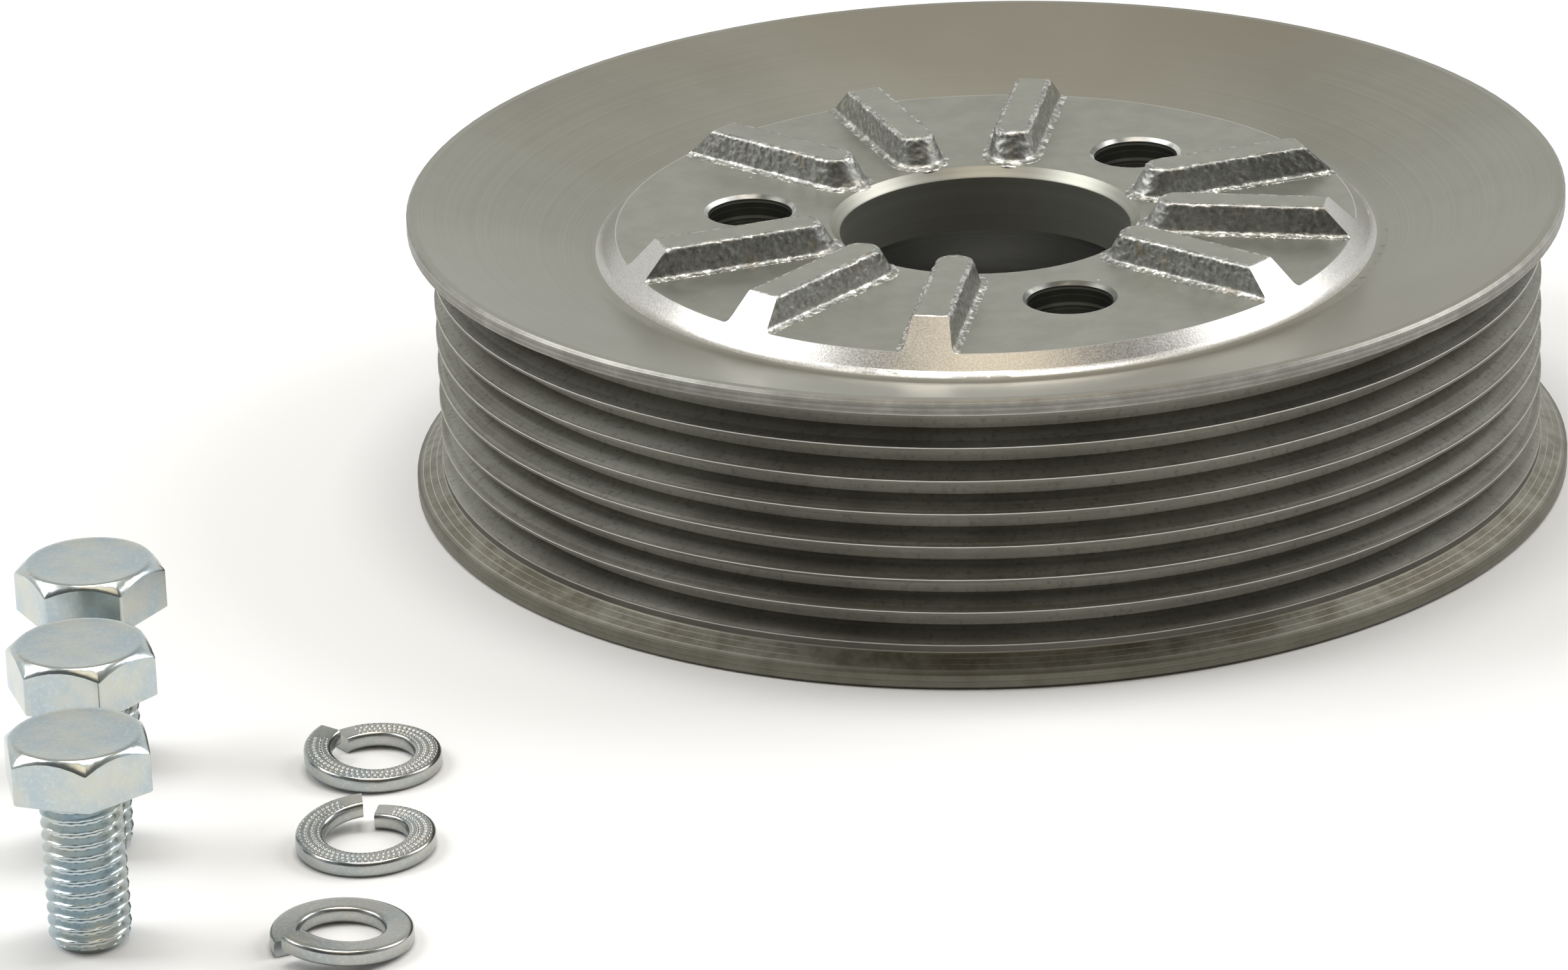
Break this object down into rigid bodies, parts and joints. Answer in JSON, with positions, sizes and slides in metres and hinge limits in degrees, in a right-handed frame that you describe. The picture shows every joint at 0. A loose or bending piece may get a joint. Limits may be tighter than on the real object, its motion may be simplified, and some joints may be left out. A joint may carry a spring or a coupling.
{
  "type": "electromagnetic clutch",
  "caption": "Electromagnetic clutch with a grooved belt pulley, ribbed front web, slotted rotor, sprung armature plate, stationary coil and its loose screws and spring washers.",
  "frame": {"origin": "on the clutch axis, at the rear face, where the shaft enters the bore", "axes": "+Z along the clutch axis out of the ribbed front of the pulley; +X to the right and +Y away from a viewer who has the loose screws on the left"},
  "size_m": [0.1601, 0.1833, 0.0311],
  "materials": {
    "belt_pulley": "cast ribs and web, turned dish, cone and grooves",
    "driving_hub": "turned",
    "hub_rivets": "bright",
    "armature_rivets": "bright",
    "leaf_springs": "blued spring steel",
    "armature_plate": "ground",
    "rotor": "black coated steel with a turned friction face",
    "rotor_hub": "turned",
    "friction_ring": "friction lining",
    "bearing_inner_ring": "ground",
    "bearing_outer_ring": "ground",
    "bearing_balls": "polished",
    "bearing_cage": "pressed steel",
    "bearing_seals": "moulded",
    "housing_clip": "phosphated",
    "sleeve_clip": "phosphated",
    "mounting_plate": "zinc plated",
    "coil_housing": "black coated steel",
    "coil_bobbin": "moulded",
    "coil_winding": "enamelled copper wire",
    "potting_ring": "cast resin",
    "terminal_block": "moulded",
    "terminal_blades": "tinned",
    "mounting_screw_1": "bright zinc plating",
    "spring_washer_1": "bright zinc plating",
    "mounting_screw_2": "bright zinc plating",
    "spring_washer_2": "bright zinc plating",
    "mounting_screw_3": "bright zinc plating",
    "spring_washer_3": "bright zinc plating"
  },
  "bodies": {
    "field": {"mounting_plate": "mounting_plate", "coil_housing": "coil_housing", "coil_bobbin": "coil_bobbin", "coil_winding": "coil_winding", "potting_ring": "potting_ring", "terminal_block": "terminal_block", "terminal_blades": "terminal_blades", "mounting_screw_1": "mounting_screw_1", "mounting_screw_2": "mounting_screw_2", "mounting_screw_3": "mounting_screw_3", "spring_washer_1": "spring_washer_1", "spring_washer_2": "spring_washer_2", "spring_washer_3": "spring_washer_3"},
    "rotor": {"rotor": "rotor", "rotor_hub": "rotor_hub", "friction_ring": "friction_ring", "bearing_inner_ring": "bearing_inner_ring", "sleeve_clip": "sleeve_clip"},
    "cage": {"bearing_cage": "bearing_cage", "bearing_balls": "bearing_balls"},
    "pulley": {"belt_pulley": "belt_pulley", "driving_hub": "driving_hub", "hub_rivets": "hub_rivets", "bearing_outer_ring": "bearing_outer_ring", "bearing_seals": "bearing_seals", "housing_clip": "housing_clip"},
    "armature": {"armature_plate": "armature_plate", "armature_rivets": "armature_rivets", "leaf_springs": "leaf_springs"}
  },
  "joints": [
    {"name": "rotor_spin", "type": "hinge", "parent": "field", "child": "rotor", "pos_m": [0, 0, 0], "axis": [0, 0, 1], "continuous": true},
    {"name": "pulley_spin", "type": "hinge", "parent": "rotor", "child": "pulley", "pos_m": [0, 0, 0], "axis": [0, 0, 1], "continuous": true},
    {"name": "bearing_cage_spin", "type": "hinge", "parent": "rotor", "child": "cage", "pos_m": [0, 0, 0], "axis": [0, 0, 1], "continuous": true},
    {"name": "armature_travel", "type": "slide", "parent": "pulley", "child": "armature", "axis": [0, 0, -1], "range_m": [0, 0.00049], "stiffness_N_per_m": 6000, "springref_m": -0.003, "deforming": ["leaf_springs"]}
  ],
  "couplings": [
    {"joint": "bearing_cage_spin", "follows": "pulley_spin", "ratio": 0.6013}
  ]
}
